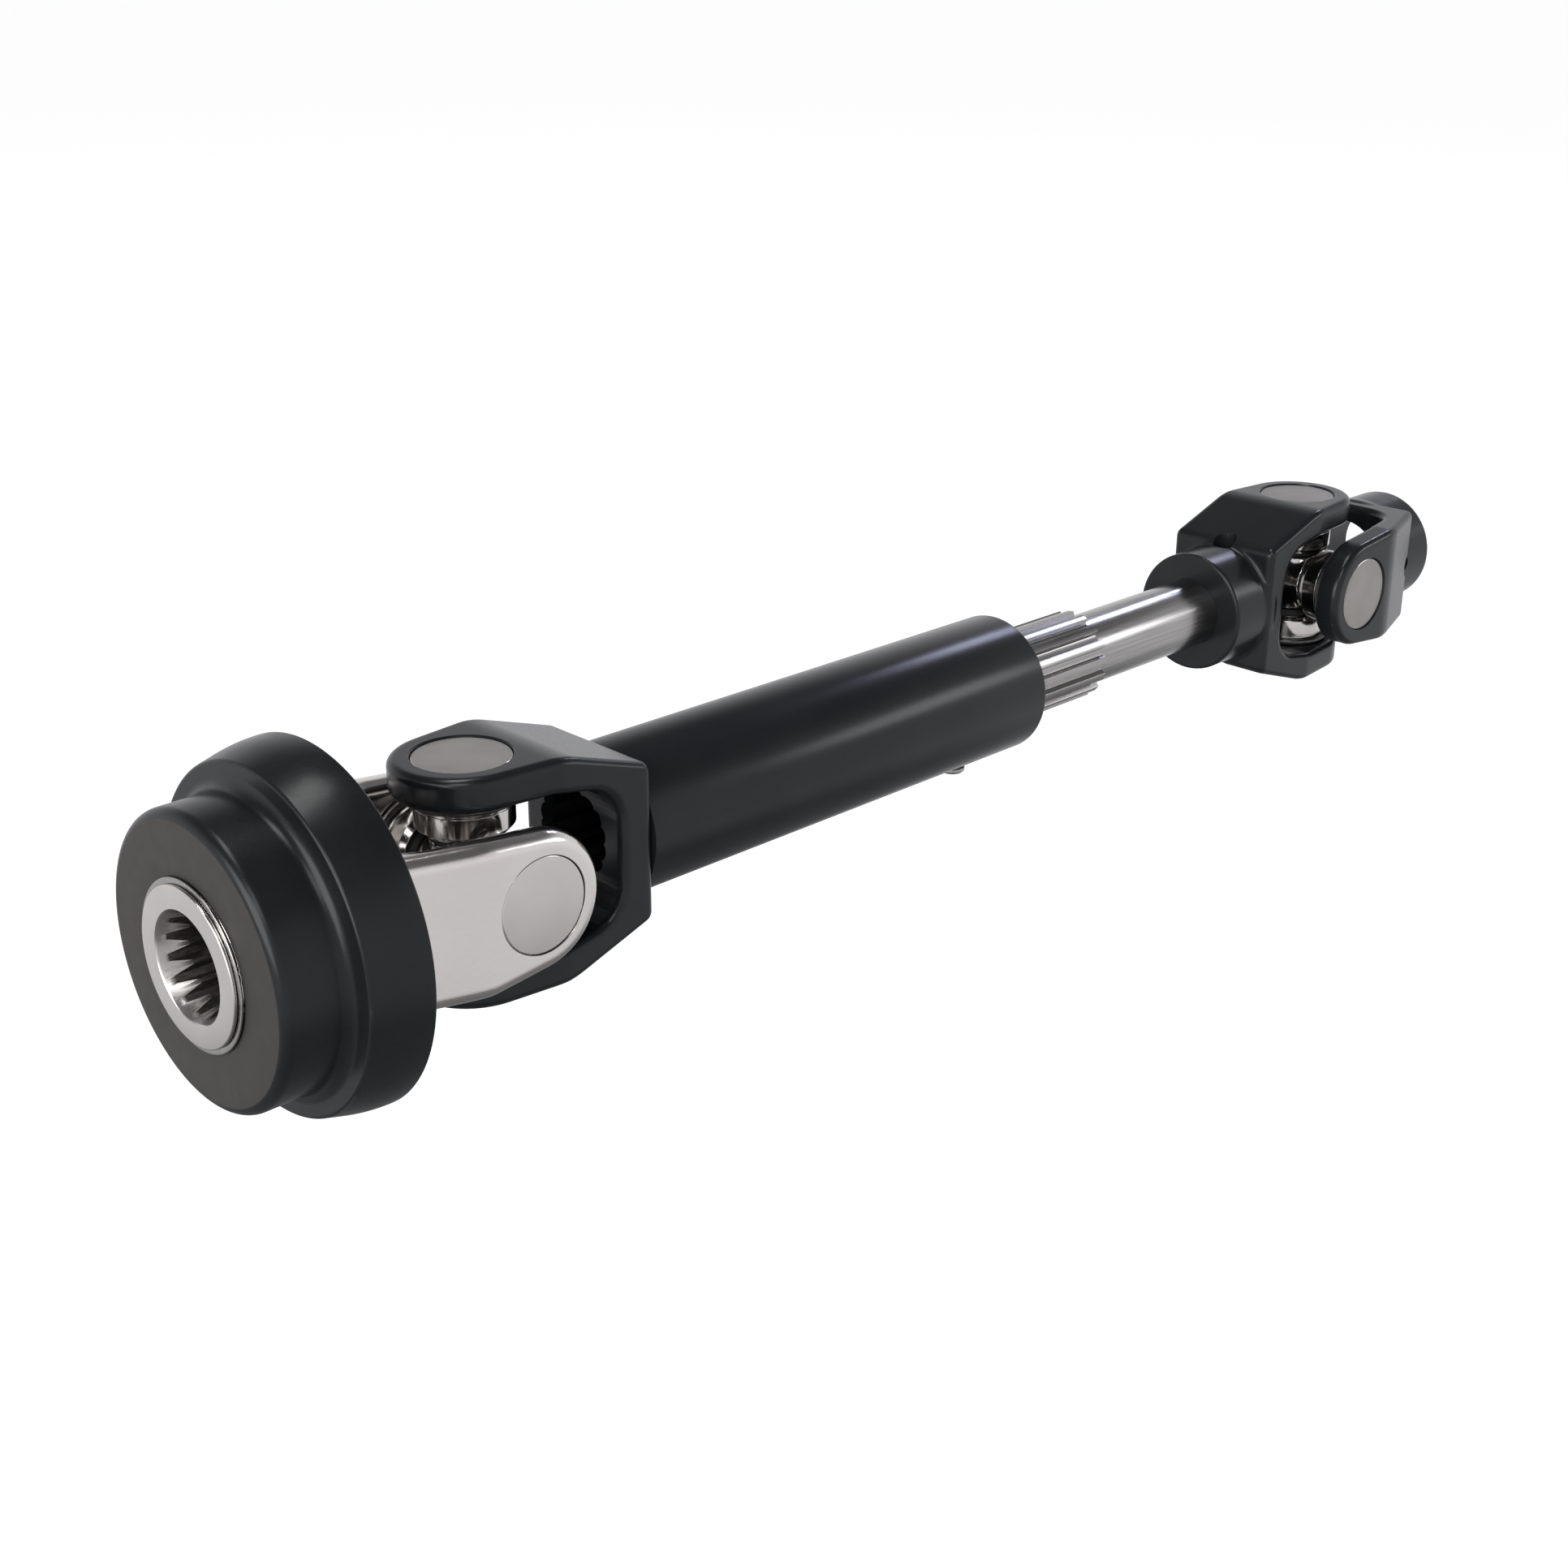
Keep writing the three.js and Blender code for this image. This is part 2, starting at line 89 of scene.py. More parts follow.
# Hubs, pin and plain bore
HUB_RADIUS = 19.65
HUB_END = 59.95
PIN_PLACE = 42.0
PIN_RADIUS = 3.6
END_BORE = 14.0

# Input hub: splined bore, locking balls, release collar
INPUT_HUB_END = 77.2
BORE_TEETH = 15
BORE_MINOR = 11.1
BORE_MAJOR = 12.7
BORE_RIM = 13.49
CONE_SLOPE = 3.0
LIP_RADIUS = 19.35
GROOVE_RADIUS = 18.45
BALL_COUNT = 3
BALL_PLACE = 62.0
BALL_RADIUS = 4.5
COLLAR_BORE = 20.3
COLLAR_FRONT = 75.3

# Sliding spline, sleeve and shaft, from the front joint centre
SLIP_TEETH = 16
SLIP_MINOR = 12.0
SLIP_MAJOR = 13.9
SLIP_START = 100.0
SLIP_END = 236.0
SLIP_TURN = math.radians(-5.0)
SLEEVE_RADIUS = 20.65
SLEEVE_END = 198.2
NIPPLE_PLACE = 180.0
SHAFT_RADIUS = 11.25

GAP = 0.3

# ---- placing: each shape is drawn with its joint centre at the origin ----------------------------


def placing(centre, columns):
    """Matrix from local millimetres to the row frame; columns say where local x, y and z point."""
    turn = Matrix(columns).transposed().to_4x4()
    return Matrix.Translation(centre) @ turn @ Matrix.Scale(MM, 4)


AT_SLEEVE = placing(FRONT, ((1, 0, 0), (0, 1, 0), (0, 0, 1)))
AT_INPUT = placing(FRONT, ((-1, 0, 0), (0, 0, 1), (0, 1, 0)))
AT_SHAFT = placing(REAR, ((-1, 0, 0), (0, -1, 0), (0, 0, 1)))
AT_OUTPUT = placing(REAR, ((1, 0, 0), (0, 0, 1), (0, -1, 0)))
AT_REAR = placing(REAR, ((1, 0, 0), (0, 1, 0), (0, 0, 1)))
ALONG_X = Matrix(((0, 0, 1, 0), (0, 1, 0, 0), (-1, 0, 0, 0), (0, 0, 0, 1)))


# ---- outlines ------------------------------------------------------------------------------------


def polar(radius, angle):
    return radius * math.cos(angle), radius * math.sin(angle)


def arc(radius, first, last, count):
    """Points on a circle from one angle to another, both ends included."""
    return [polar(radius, first + (last - first) * i / count) for i in range(count + 1)]


def rounded(corners, steps=7):
    """Closed outline with its corners rounded: each corner is (x, y) or (x, y, radius)."""
    points = []
    for i, corner in enumerate(corners):
        here = Vector(corner[:2])
        radius = corner[2] if len(corner) > 2 else 0
        if radius <= 0:
            points.append(here)
            continue
        back = (Vector(corners[i - 1][:2]) - here).normalized()
        ahead = (Vector(corners[(i + 1) % len(corners)][:2]) - here).normalized()
        half = back.angle(ahead) / 2
        centre = here + (back + ahead).normalized() * (radius / math.sin(half))
        start = here + back * (radius / math.tan(half)) - centre
        sweep = math.pi - 2 * half
        if back.x * ahead.y - back.y * ahead.x > 0:
            sweep = -sweep
        for step in range(steps + 1):
            points.append(centre + Matrix.Rotation(sweep * step / steps, 2) @ start)
    return [(p.x, p.y) for p in points]


def toothed(teeth, foot, tip, foot_share, tip_share, round_foot=0.15, round_tip=0.15, turn=0.0):
    """Toothed outline; shares are the parts of a pitch that a tooth takes at its foot and tip."""
    pitch = 2 * math.pi / teeth
    corners = []
    for tooth in range(teeth):
        for radius, share, soft in (
            (foot, -foot_share / 2, round_foot),
            (tip, -tip_share / 2, round_tip),
            (tip, tip_share / 2, round_tip),
            (foot, foot_share / 2, round_foot),
        ):
            corners.append((*polar(radius, (tooth + share) * pitch + turn), soft))
    return rounded(corners, 3)


def slip_bore_outline():
    """Section of the sleeve's spline, a little larger than the shaft's."""
    foot, tip = SLIP_MINOR + GAP, SLIP_MAJOR + GAP
    return toothed(SLIP_TEETH, foot, tip, 0.66, 0.5, 0.2, 0.2, SLIP_TURN)


def lobed(lobes, low, high, samples=14, bulge=0.6):
    """Outline of round lobes that meet in points, as left by a scalloped broach."""
    count = lobes * samples
    points = []
    for i in range(count):
        angle = 2 * math.pi * i / count
        radius = low + (high - low) * abs(math.sin(angle * lobes / 2)) ** bulge
        points.append(polar(radius, angle))
    return points


# ---- meshes --------------------------------------------------------------------------------------


def new_object(name, mesh):
    item = bpy.data.objects.new(name, mesh)
    bpy.context.scene.collection.objects.link(item)
    return item


def from_bmesh(name, shape):
    """Object of a closed bmesh, cleaned and facing out; the bmesh is used up."""
    bmesh.ops.remove_doubles(shape, verts=shape.verts, dist=1e-4)
    bmesh.ops.dissolve_degenerate(shape, edges=shape.edges, dist=1e-5)
    bmesh.ops.recalc_face_normals(shape, faces=shape.faces)
    mesh = bpy.data.meshes.new(name)
    shape.to_mesh(mesh)
    shape.free()
    return new_object(name, mesh)


def lathe(name, profile, segments=96, turn=None):
    """Turned piece about local Z from a closed (radius, height) outline."""
    shape = bmesh.new()
    rings = []
    for i in range(segments):
        angle = 2 * math.pi * i / segments
        rings.append([shape.verts.new((*polar(r, angle), h)) for r, h in profile])
    count = len(profile)
    for i in range(segments):
        a, b = rings[i], rings[(i + 1) % segments]
        for j in range(count):
            k = (j + 1) % count
            if profile[j][0] < 1e-6 and profile[k][0] < 1e-6:
                continue
            shape.faces.new((a[j], b[j], b[k], a[k]))
    item = from_bmesh(name, shape)
    if turn is not None:
        item.data.transform(turn)
    return item


def lathe_x(name, profile, segments=96):
    """Turned piece about local X: the outline is (radius, x)."""
    return lathe(name, profile, segments, ALONG_X)


def prism(name, outline, low, high, turn=None):
    """Extrusion of an outline along local Z."""
    shape = bmesh.new()
    bottom = [shape.verts.new((x, y, low)) for x, y in outline]
    top = [shape.verts.new((x, y, high)) for x, y in outline]
    shape.faces.new(bottom)
    shape.faces.new(top)
    for i in range(len(outline)):
        k = (i + 1) % len(outline)
        shape.faces.new((bottom[i], bottom[k], top[k], top[i]))
    item = from_bmesh(name, shape)
    if turn is not None:
        item.data.transform(turn)
    return item


def apply_modifiers(item):
    bpy.context.view_layer.update()
    graph = bpy.context.evaluated_depsgraph_get()
    made = bpy.data.meshes.new_from_object(item.evaluated_get(graph))
    item.modifiers.clear()
    item.data = made


def combine(item, operation, *tools):
    """Boolean of item with each tool; the tools are used up."""
    for tool in tools:
        modifier = item.modifiers.new("cut", "BOOLEAN")
        modifier.operation = operation
        modifier.solver = "MANIFOLD"
        modifier.object = tool
        apply_modifiers(item)
        bpy.data.objects.remove(tool)
    return item


def bevelled(item, width, segments=2, angle=30):
    """Rounds off every edge sharper than the angle."""
    modifier = item.modifiers.new("bevel", "BEVEL")
    modifier.width = width
    modifier.segments = segments
    modifier.limit_method = "ANGLE"
    modifier.angle_limit = math.radians(angle)
    modifier.use_clamp_overlap = True
    apply_modifiers(item)
    return item


# ---- distance fields: forgings with soft edges ---------------------------------------------------


def axis_values(low, high, step):
    return np.arange(low, high + step, step)


def outline_field(outline, u, v):
    """Signed distance to a closed outline over the grid of u and v, negative inside."""
    grid = np.stack(np.meshgrid(u, v, indexing="ij"), -1)
    nearest = np.full(grid.shape[:2], 1e9)
    inside = np.zeros(grid.shape[:2], bool)
    ends = [np.array(p, float) for p in outline]
    for a, b in zip(ends, ends[1:] + ends[:1]):
        edge = b - a
        size = edge @ edge
        if size < 1e-12:
            continue
        offset = grid - a
        along = np.clip(offset @ edge / size, 0, 1)
        gap = offset - along[..., None] * edge
        nearest = np.minimum(nearest, (gap * gap).sum(-1))
        if abs(edge[1]) > 1e-12:
            crosses = (a[1] > grid[..., 1]) != (b[1] > grid[..., 1])
            inside ^= crosses & (offset[..., 0] < edge[0] * offset[..., 1] / edge[1])
    return np.where(inside, -1, 1) * np.sqrt(nearest)


def both(radius, *fields):
    """Common part of several fields, with the edges where they meet rounded off."""
    squares = sum(np.maximum(field + radius, 0) ** 2 for field in fields)
    highest = fields[0]
    for field in fields[1:]:
        highest = np.maximum(highest, field)
    return np.sqrt(squares) + np.minimum(highest + radius, 0) - radius


def either(radius, a, b):
    """Union of two fields, with a hollow rounding where they meet."""
    fill = np.sqrt(np.maximum(radius - a, 0) ** 2 + np.maximum(radius - b, 0) ** 2)
    return np.maximum(radius, np.minimum(a, b)) - fill


def field_object(name, field, origin, step):
    """Mesh of the surface where the field is zero."""
    reach = 4 * step
    grid = openvdb.FloatGrid(background=reach)
    grid.copyFromArray(np.clip(field, -reach, reach).astype(np.float32))
    points, triangles, quads = grid.convertToPolygons(isovalue=0.0, adaptivity=0.0)
    points = points * step + np.array(origin)
    faces = [tuple(map(int, f)) for f in triangles] + [tuple(map(int, f)) for f in quads]
    mesh = bpy.data.meshes.new(name)
    mesh.from_pydata(points.tolist(), [], faces)
    mesh.validate()
    shape = bmesh.new()
    shape.from_mesh(mesh)
    bmesh.ops.recalc_face_normals(shape, faces=shape.faces)
    shape.to_mesh(mesh)
    shape.free()
    return new_object(name, mesh)


# ---- finishes ------------------------------------------------------------------------------------


PER_METRE = 1000
MIX_FACTOR, MIX_A, MIX_B, MIX_RESULT = 0, 6, 7, 2  # a colour Mix node's sockets, by place


def node_of(material, kind, **values):
    node = material.node_tree.nodes.new(kind)
    for key, value in values.items():
        setattr(node, key, value)
    return node


def noise(material, cycles_per_mm, detail=3.0, stretch=(1, 1, 1), roughness=0.5):
    """Noise fixed to the piece; stretch draws it out along an axis where it is below 1."""
    tree = material.node_tree
    place = node_of(material, "ShaderNodeTexCoord")
    mapping = node_of(material, "ShaderNodeMapping")
    mapping.inputs["Scale"].default_value = [PER_METRE * cycles_per_mm * s for s in stretch]
    texture = node_of(material, "ShaderNodeTexNoise")
    texture.inputs["Scale"].default_value = 1.0
    texture.inputs["Detail"].default_value = detail
    texture.inputs["Roughness"].default_value = roughness
    tree.links.new(place.outputs["Object"], mapping.inputs["Vector"])
    tree.links.new(mapping.outputs["Vector"], texture.inputs["Vector"])
    return texture.outputs["Fac"]


def turning_marks(material, pitch_mm):
    """Fine rings about the shaft's own axis, as a lathe leaves them on a face."""
    tree = material.node_tree
    place = node_of(material, "ShaderNodeTexCoord")
    mapping = node_of(material, "ShaderNodeMapping")
    mapping.inputs["Location"].default_value = (0, 0, -AXIS_HEIGHT * PER_METRE)
    mapping.inputs["Scale"].default_value = (PER_METRE, PER_METRE, PER_METRE)
    wave = node_of(material, "ShaderNodeTexWave", wave_type="RINGS", rings_direction="X")
    wave.inputs["Scale"].default_value = 1 / (pitch_mm * 3.1416)
    wave.inputs["Distortion"].default_value = 0.6
    wave.inputs["Detail"].default_value = 2.0
    tree.links.new(place.outputs["Object"], mapping.inputs["Vector"])
    tree.links.new(mapping.outputs["Vector"], wave.inputs["Vector"])
    return wave.outputs["Fac"]


def spread(material, source, low, high, start=0.3, end=0.7):
    """Maps a texture's middle range to low ... high."""
    node = node_of(material, "ShaderNodeMapRange", clamp=True)
    node.inputs["From Min"].default_value = start
    node.inputs["From Max"].default_value = end
    node.inputs["To Min"].default_value = low
    node.inputs["To Max"].default_value = high
    material.node_tree.links.new(source, node.inputs["Value"])
    return node.outputs["Result"]


def tint(material, factor, first, second):
    """Mix of two colours by a factor; a colour is a tuple or another node's output."""
    node = node_of(material, "ShaderNodeMix", data_type="RGBA")
    for socket, value in ((MIX_A, first), (MIX_B, second)):
        if isinstance(value, tuple):
            node.inputs[socket].default_value = (*value, 1)
        else:
            material.node_tree.links.new(value, node.inputs[socket])
    material.node_tree.links.new(factor, node.inputs[MIX_FACTOR])
    return node.outputs[MIX_RESULT]


def clouded(material, texture, first, second):
    """Colour that drifts between two shades with a texture."""
    return tint(material, spread(material, texture, 0, 1), first, second)


def edge_mask(material, start, end):
    """1 on the crests of edges, 0 on the open surface."""
    geometry = node_of(material, "ShaderNodeNewGeometry")
    return spread(material, geometry.outputs["Pointiness"], 0.0, 1.0, start, end)


def multiply(material, a, b):
    node = node_of(material, "ShaderNodeMath", operation="MULTIPLY")
    material.node_tree.links.new(a, node.inputs[0])
    material.node_tree.links.new(b, node.inputs[1])
    return node.outputs[0]


def bumps(material, layers):
    """Stacks bump layers of (height source, depth in mm, strength)."""
    normal = None
    for source, depth, strength in layers:
        node = node_of(material, "ShaderNodeBump")
        node.inputs["Strength"].default_value = strength
        node.inputs["Distance"].default_value = depth * MM
        material.node_tree.links.new(source, node.inputs["Height"])
        if normal is not None:
            material.node_tree.links.new(normal, node.inputs["Normal"])
        normal = node.outputs["Normal"]
    return normal


def finish(name, metallic=0.0, specular=0.5):
    """New material with its constant sockets set; returns it and its shader."""
    material = bpy.data.materials.new(name)
    material.use_nodes = True
    shader = material.node_tree.nodes["Principled BSDF"]
    shader.inputs["Metallic"].default_value = metallic
    shader.inputs["Specular IOR Level"].default_value = specular
    shader.inputs["IOR"].default_value = 1.5
    return material, shader


def wire(material, shader, colour, roughness, normal=None):
    """Links a material's textures to its shader."""
    links = material.node_tree.links
    links.new(colour, shader.inputs["Base Color"])
    links.new(roughness, shader.inputs["Roughness"])
    if normal is not None:
        links.new(normal, shader.inputs["Normal"])
    return material


def black_paint():
    """Baked satin enamel over a forging: faint clouding, grain in the gloss, edges lighter as wear
    and painted highlight.
    """
    material, shader = finish("black_paint", specular=0.25)
    cloud = noise(material, 0.06, 3)
    grain = noise(material, 2.4, 2)
    base = clouded(material, cloud, (0.0072, 0.0082, 0.0094), (0.0096, 0.0106, 0.0118))
    # Edges lightened where pointiness is high: part wear, part painted highlight
    edge_wear_and_highlight = multiply(material, edge_mask(material, 0.52, 0.6), spread(material, grain, 0.1, 0.45))
    colour = tint(material, edge_wear_and_highlight, base, (0.03, 0.032, 0.034))
    roughness = spread(material, grain, 0.2, 0.27)
    return wire(material, shader, colour, roughness)


def collar_finish(name, first, second, low, high, specular, turned):
    """Dark collar: faint clouding, edges lighter as wear and painted highlight, turning rings where
    it is faced off.
    """
    material, shader = finish(name, specular=specular)
    cloud = noise(material, 0.05, 3)
    grain = noise(material, 4.0, 2)
    base = clouded(material, cloud, first, second)
    # Edges lightened where pointiness is high: part wear, part painted highlight
    edge_wear_and_highlight = multiply(material, edge_mask(material, 0.52, 0.62), spread(material, grain, 0.1, 0.5))
    colour = tint(material, edge_wear_and_highlight, base, (0.035, 0.035, 0.035))
    roughness = spread(material, noise(material, 0.25, 4), low, high)
    normal = bumps(material, [(turning_marks(material, 0.5), 0.0015, 0.12)]) if turned else None
    return wire(material, shader, colour, roughness, normal)


def polished_steel():
    """Polished forging with fine lengthwise brush marks and faint clouding."""
    material, shader = finish("polished_steel", metallic=1.0)
    cloud = noise(material, 0.035, 2)
    brush = noise(material, 1.6, 3, (0.06, 1, 1))
    colour = clouded(material, cloud, (0.655, 0.62, 0.592), (0.695, 0.66, 0.632))
    roughness = spread(material, brush, 0.13, 0.19)
    normal = bumps(material, [(brush, 0.002, 0.15), (noise(material, 0.25, 2), 0.005, 0.1)])
    return wire(material, shader, colour, roughness, normal)


def turned_steel():
    """Face of the input hub: bright steel with turning marks."""
    material, shader = finish("turned_steel", metallic=1.0)
    marks = turning_marks(material, 0.35)
    cloud = noise(material, 0.08, 3)
    colour = clouded(material, cloud, (0.56, 0.53, 0.505), (0.60, 0.57, 0.545))
    roughness = spread(material, marks, 0.2, 0.3)
    normal = bumps(material, [(marks, 0.001, 0.15)])
    return wire(material, shader, colour, roughness, normal)


def bearing_steel():
    """Hardened and ground: nearly a mirror, with faint grinding marks."""
    material, shader = finish("bearing_steel", metallic=1.0)
    cloud = noise(material, 0.12, 3)
    fine = noise(material, 2.5, 2, (1, 1, 0.15))
    colour = clouded(material, cloud, (0.52, 0.495, 0.475), (0.62, 0.60, 0.58))
    roughness = spread(material, fine, 0.09, 0.17)
    normal = bumps(material, [(fine, 0.002, 0.2)])
    return wire(material, shader, colour, roughness, normal)


def cap_steel():
    """Closed end of a bearing cup: matte ground disc."""
    material, shader = finish("cap_steel", metallic=0.35, specular=0.4)
    cloud = noise(material, 0.1, 4)
    fine = noise(material, 3.0, 3)
    colour = clouded(material, cloud, (0.235, 0.222, 0.208), (0.275, 0.262, 0.247))
    roughness = spread(material, fine, 0.42, 0.52)
    normal = bumps(material, [(fine, 0.004, 0.3)])
    return wire(material, shader, colour, roughness, normal)


def flush_cap():
    """Closed end of a bright cup, level with the polished ear round it."""
    material, shader = finish("flush_cap", metallic=1.0)
    cloud = noise(material, 0.1, 4)
    fine = noise(material, 2.0, 3)
    colour = clouded(material, cloud, (0.575, 0.543, 0.525), (0.61, 0.578, 0.56))
    roughness = spread(material, fine, 0.28, 0.36)
    normal = bumps(material, [(fine, 0.003, 0.25)])
    return wire(material, shader, colour, roughness, normal)


def bored_steel(name, first, second, low, high):
    """Inside of the splined bore: broached metal, its dark colour painted shade of the recess."""
    material, shader = finish(name, metallic=0.95)
    fine = noise(material, 2.2, 3, (0.25, 1, 1))
    colour = clouded(material, fine, first, second)
    roughness = spread(material, fine, low, high)
    normal = bumps(material, [(fine, 0.003, 0.25)])
    return wire(material, shader, colour, roughness, normal)


def ground_steel():
    """Drawn and ground shaft: lengthwise streaks, fine grain."""
    material, shader = finish("ground_steel", metallic=1.0)
    streaks = noise(material, 1.2, 3, (0.03, 1, 1))
    grain = noise(material, 3.0, 2)
    colour = clouded(material, streaks, (0.295, 0.286, 0.278), (0.385, 0.375, 0.366))
    roughness = spread(material, streaks, 0.17, 0.25)
    normal = bumps(material, [(streaks, 0.004, 0.2), (grain, 0.002, 0.15)])
    return wire(material, shader, colour, roughness, normal)


def spring_steel():
    """Dark oil-tempered wire and strip."""
    material, shader = finish("spring_steel", metallic=0.9)
    cloud = noise(material, 0.5, 3)
    colour = clouded(material, cloud, (0.09, 0.088, 0.085), (0.16, 0.155, 0.15))
    roughness = spread(material, noise(material, 2.0, 3), 0.28, 0.45)
    normal = bumps(material, [(cloud, 0.01, 0.3)])
    return wire(material, shader, colour, roughness, normal)


def seal_rubber():
    """Moulded black rubber with a fine grain."""
    material, shader = finish("seal_rubber", specular=0.4)
    cloud = noise(material, 0.6, 3)
    colour = clouded(material, cloud, (0.012, 0.012, 0.012), (0.02, 0.02, 0.021))
    roughness = spread(material, cloud, 0.55, 0.75)
    normal = bumps(material, [(noise(material, 3.0, 2), 0.02, 0.4)])
    return wire(material, shader, colour, roughness, normal)


PAINT = black_paint()
GRIP = collar_finish(
    "grip_black", (0.0066, 0.0074, 0.0082), (0.0084, 0.0092, 0.01), 0.25, 0.3, 0.22, False)
# Lighter copy of the collar finish for its front face; the difference from grip_black on the sides is
# painted light from the front lamps
GRIP_LIT_FACE = collar_finish(
    "grip_black_lit_face", (0.0275, 0.026, 0.0243), (0.0298, 0.0282, 0.0264), 0.4, 0.48, 0.13, True)
POLISHED = polished_steel()
TURNED = turned_steel()
BEARING = bearing_steel()
CAP = cap_steel()
# Lead-in cone and bore walls darkened as painted shade inside the bore, darkest along the broached
# teeth
CONE = bored_steel("lead_in_steel", (0.335, 0.321, 0.308), (0.385, 0.371, 0.358), 0.26, 0.33)
BROACHED_SHADED = bored_steel("broached_steel_shaded", (0.07, 0.064, 0.058), (0.13, 0.12, 0.11), 0.42, 0.55)
FLUSH_CAP = flush_cap()
GROUND = ground_steel()
SPRING = spring_steel()
SEAL = seal_rubber()


def piece(item, place, body, material, nodes, angle=32, faces=()):
    """Places a finished shape, gives it its looks and lets it stand for CAD nodes on a body."""
    mesh = item.data
    mesh.materials.clear()
    mesh.materials.append(material)
    for polygon in mesh.polygons:
        polygon.material_index = 0
    for other, chosen in faces:
        mesh.materials.append(other)
        for polygon in mesh.polygons:
            if polygon.material_index == 0 and chosen(polygon):
                polygon.material_index = len(mesh.materials) - 1
    mesh.transform(place)
    mesh.shade_smooth()
    mesh.set_sharp_from_angle(angle=math.radians(angle))
    mesh.update()
    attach(item, body)
    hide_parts(*nodes)
    return item


# ---- forks ---------------------------------------------------------------------------------------


def fork_side(top):
    """Outline in x and z: ears with flat tops that slope down to the base, and the opening."""
    slope = (top - BASE_HALF_HEIGHT) / (BASE - FLAT_END)
    far = BASE + PAST_BASE
    far_height = BASE_HALF_HEIGHT - PAST_BASE * slope
    return rounded([
        (EAR_BACK, top),
        (FLAT_END, top, 25),
        (far, far_height),
        (far, -far_height),
        (FLAT_END, -top, 25),
        (EAR_BACK, -top),
        (EAR_BACK, -EAR_INSIDE),
        (13, -EAR_INSIDE, 12),
        (WALL, -17.2, 10.8),
        (WALL, 17.2, 10.8),
        (13, EAR_INSIDE, 12),
        (EAR_BACK, EAR_INSIDE),
    ])


def fork_plan():
    """Outline in x and y: round tip about the cup, sides that widen to the base."""
    far = BASE + PAST_BASE
    return rounded([
        *arc(TIP_RADIUS, math.radians(96), math.radians(264), 32),
        (15, -HALF_WIDTH, 18),
        (far, -HALF_WIDTH),
        (far, HALF_WIDTH),
        (15, HALF_WIDTH, 18),
    ])


def fork_forging(name, top, hub_end=None, edge=EDGE, step=0.45):
    """Forged fork about its joint centre: ears at +Z and -Z, base towards +X."""
    origin = (-TIP_RADIUS - 2, -HALF_WIDTH - 2, -top - 2)
    x = axis_values(origin[0], (hub_end or BASE) + 2, step)
    y = axis_values(origin[1], HALF_WIDTH + 2, step)
    z = axis_values(origin[2], top + 2, step)
    side = outline_field(fork_side(top), x, z)[:, None, :]
    plan = outline_field(fork_plan(), x, y)[:, :, None]
    back = (x - BASE)[:, None, None]
    body = both(edge, *np.broadcast_arrays(side, plan, back))
    if hub_end:
        radial = (np.hypot(y[:, None], z[None, :]) - HUB_RADIUS)[None]
        ends = np.maximum(x - hub_end, BASE - 4 - x)[:, None, None]
        hub = both(0.8, *np.broadcast_arrays(radial, ends))
        body = either(1.6, body, hub)
    return field_object(name, body, origin, step)


def ear_bore(name, top, radius, edge):
    """Cutter for a cup's bore, with a small chamfer at the ear's face."""
    return lathe(name, [
        (0, 8), (radius, 8), (radius, top - edge), (radius + edge + 0.1, top + 0.1),
        (radius + edge + 0.1, top + 2), (0, top + 2),
    ], 128)


def through_pin_hole(name, radius, reach, place):
    """Cutter across the part, for the roll pin."""
    hole = lathe(name, [(0, -reach), (radius, -reach), (radius, reach), (0, reach)], 48)
    hole.data.transform(Matrix.Translation((place, 0, 0)))
    return hole


def cut_ears(fork, top, edge):
    up = ear_bore("bore_up", top, CUP_RADIUS + CUP_FIT, edge)
    down = ear_bore("bore_down", top, CUP_RADIUS + CUP_FIT, edge)
    down.data.transform(Matrix.Rotation(math.pi, 4, "X"))
    return combine(fork, "DIFFERENCE", up, down)


def plain_bore(name, radius, low, high, lead):
    return lathe_x(name, [
        (0, low), (radius, low), (radius, high - lead), (radius + lead + 0.3, high + 0.3),
        (radius + lead + 0.3, high + 3), (0, high + 3),
    ], 128)


def sleeve_fork():
    fork = cut_ears(fork_forging("sleeve_fork", EAR_TOP), EAR_TOP, EAR_CHAMFER)
    mouth = prism("mouth", lobed(SLIP_TEETH, 12.0, 13.0), WALL - 3, WALL + 4, ALONG_X)
    bore = prism("bore", slip_bore_outline(), WALL + 3.5, BASE + 3, ALONG_X)
    combine(fork, "DIFFERENCE", mouth, bore)
    return piece(fork, AT_SLEEVE, "sleeve", PAINT, ["sleeve_yoke"])


def hub_fork(name, place, body, node, bore, lead):
    fork = cut_ears(fork_forging(name, EAR_TOP, HUB_END), EAR_TOP, EAR_CHAMFER)
    pin_hole = through_pin_hole("pin_hole", PIN_RADIUS + 0.3, 40, PIN_PLACE)
    combine(fork, "DIFFERENCE", plain_bore("hub_bore", bore, WALL - 4, HUB_END, lead), pin_hole)
    return piece(fork, place, body, PAINT, [node])


def ball_direction(ball):
    return Matrix.Rotation(2 * math.pi * ball / BALL_COUNT, 4, "X")


def hub_lip():
    """Turned nose of the input hub, with the groove its snap ring sits in behind it."""
    return lathe_x("hub_lip", rounded([
        (0, INPUT_HUB_END - 6),
        (GROOVE_RADIUS, INPUT_HUB_END - 6),
        (GROOVE_RADIUS, INPUT_HUB_END - 0.85),
        (LIP_RADIUS, INPUT_HUB_END - 0.85, 0.12),
        (LIP_RADIUS, INPUT_HUB_END, 0.35),
        (0, INPUT_HUB_END),
    ], 4), 128)


def bore_cutter():
    teeth = toothed(BORE_TEETH, BORE_MINOR, BORE_MAJOR, 0.8, 0.32, 0.06, 0.06)
    return prism("bore", teeth, WALL - 4, INPUT_HUB_END + 2, ALONG_X)


